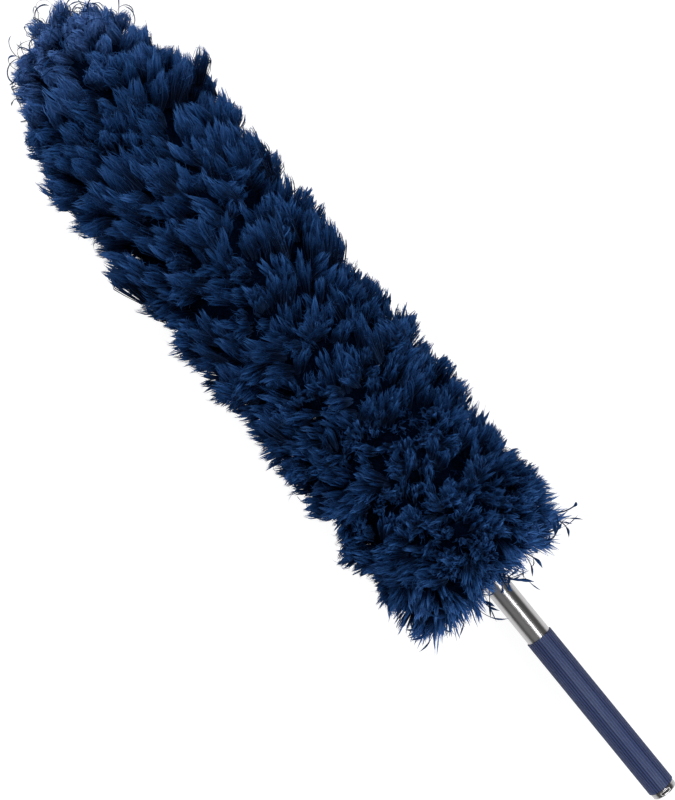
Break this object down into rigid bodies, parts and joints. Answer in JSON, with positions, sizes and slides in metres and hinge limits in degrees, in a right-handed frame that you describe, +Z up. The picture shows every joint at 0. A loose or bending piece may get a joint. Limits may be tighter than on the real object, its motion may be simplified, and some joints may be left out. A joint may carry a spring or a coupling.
{
  "type": "feather duster",
  "caption": "Long bushy duster head of cut-pile fringe on a telescopic stainless handle with a ribbed grip sleeve and a slotted end cap.",
  "frame": {"origin": "on the floor under the middle of the bounding box: the flat side of the pile that the duster rests on is at Z = 0", "axes": "+X runs along the duster from the handle's end cap to the head's tip, +Z is up, and the handle's axis lies 65.5 mm above the floor"},
  "size_m": [0.708, 0.14, 0.1355],
  "materials": {
    "polished_stainless": "polished",
    "chromed_cap": "polished",
    "spring_brass": "satin",
    "grip_vinyl": "satin",
    "black_plastic": "satin",
    "tape_cloth": "matte",
    "navy_pile": "matte"
  },
  "bodies": {
    "handle": {"end_cap": "chromed_cap", "outer_tube": "polished_stainless", "grip_sleeve": "grip_vinyl"},
    "middle_section": {"middle_tube": "polished_stainless", "middle_friction_sleeve": "spring_brass"},
    "inner_slider": {"inner_friction_sleeve": "spring_brass"},
    "head": {"inner_tube": "polished_stainless", "socket_collar": "black_plastic", "collar_pin": "polished_stainless", "core_tube": "black_plastic", "tip_plug": "black_plastic", "skirt_tape": "tape_cloth", "base_skirt": "navy_pile", "fringe_tape_01": "tape_cloth", "pile_row_01": "navy_pile", "fringe_tape_02": "tape_cloth", "pile_row_02": "navy_pile", "fringe_tape_03": "tape_cloth", "pile_row_03": "navy_pile", "fringe_tape_04": "tape_cloth", "pile_row_04": "navy_pile", "fringe_tape_05": "tape_cloth", "pile_row_05": "navy_pile", "fringe_tape_06": "tape_cloth", "pile_row_06": "navy_pile", "fringe_tape_07": "tape_cloth", "pile_row_07": "navy_pile", "fringe_tape_08": "tape_cloth", "pile_row_08": "navy_pile", "fringe_tape_09": "tape_cloth", "pile_row_09": "navy_pile", "fringe_tape_10": "tape_cloth", "pile_row_10": "navy_pile", "fringe_tape_11": "tape_cloth", "pile_row_11": "navy_pile", "fringe_tape_12": "tape_cloth", "pile_row_12": "navy_pile", "tip_tape": "tape_cloth", "tip_tuft": "navy_pile"}
  },
  "joints": [
    {"name": "middle_slide", "type": "slide", "parent": "handle", "child": "middle_section", "axis": [1, 0, 0], "range_m": [0, 0.155]},
    {"name": "inner_slide", "type": "slide", "parent": "middle_section", "child": "inner_slider", "axis": [1, 0, 0], "range_m": [0, 0.155]},
    {"name": "head_swivel", "type": "hinge", "parent": "inner_slider", "child": "head", "pos_m": [0, 0, 0.0655], "axis": [1, 0, 0], "continuous": true}
  ]
}
